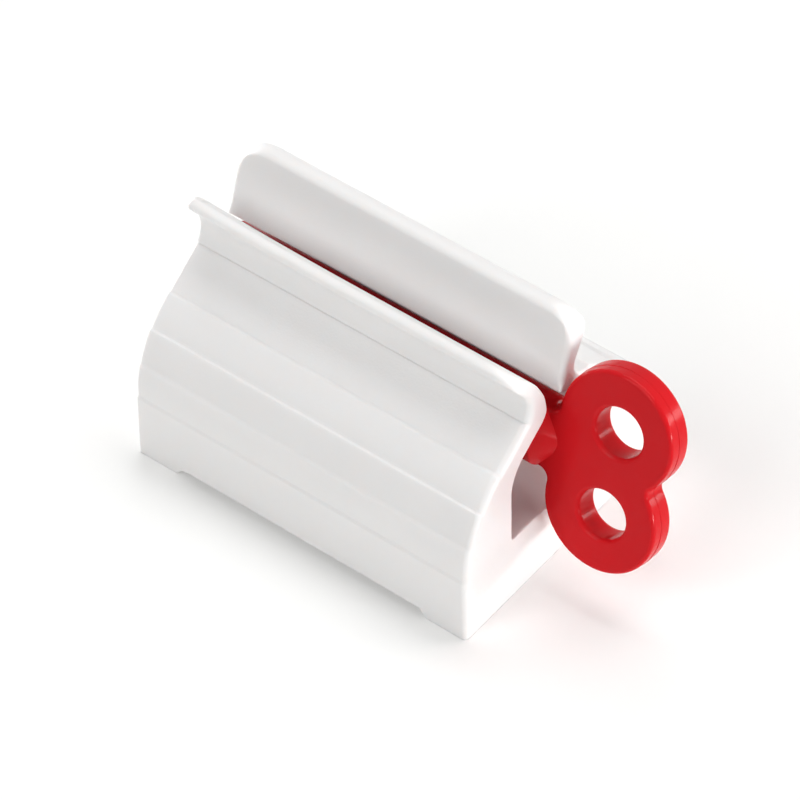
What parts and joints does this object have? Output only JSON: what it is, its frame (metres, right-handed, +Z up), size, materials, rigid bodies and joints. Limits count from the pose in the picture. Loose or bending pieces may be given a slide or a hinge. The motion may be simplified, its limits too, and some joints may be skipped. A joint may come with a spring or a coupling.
{
  "type": "toothpaste tube squeezer",
  "caption": "Free-standing tube squeezer: a moulded stand with a slot along its top, and a slit winding key that rolls a tube up from its tail.",
  "frame": {"origin": "on the floor, at the middle of the whole object's box", "axes": "+X along the stand and the roller, towards the key's handle; the front with the curled lip faces -Y; +Z is up"},
  "size_m": [0.0722, 0.04, 0.04],
  "materials": {
    "stand_plastic": "white moulded plastic, fine satin",
    "key_plastic": "red moulded plastic, glossy, very slightly translucent"
  },
  "bodies": {
    "stand": {"stand": "stand_plastic"},
    "winding_key": {"winding_key": "key_plastic"}
  },
  "joints": [
    {"name": "key_turn", "type": "hinge", "parent": "stand", "child": "winding_key", "pos_m": [0, 0, 0.02172], "axis": [1, 0, 0], "continuous": true}
  ]
}
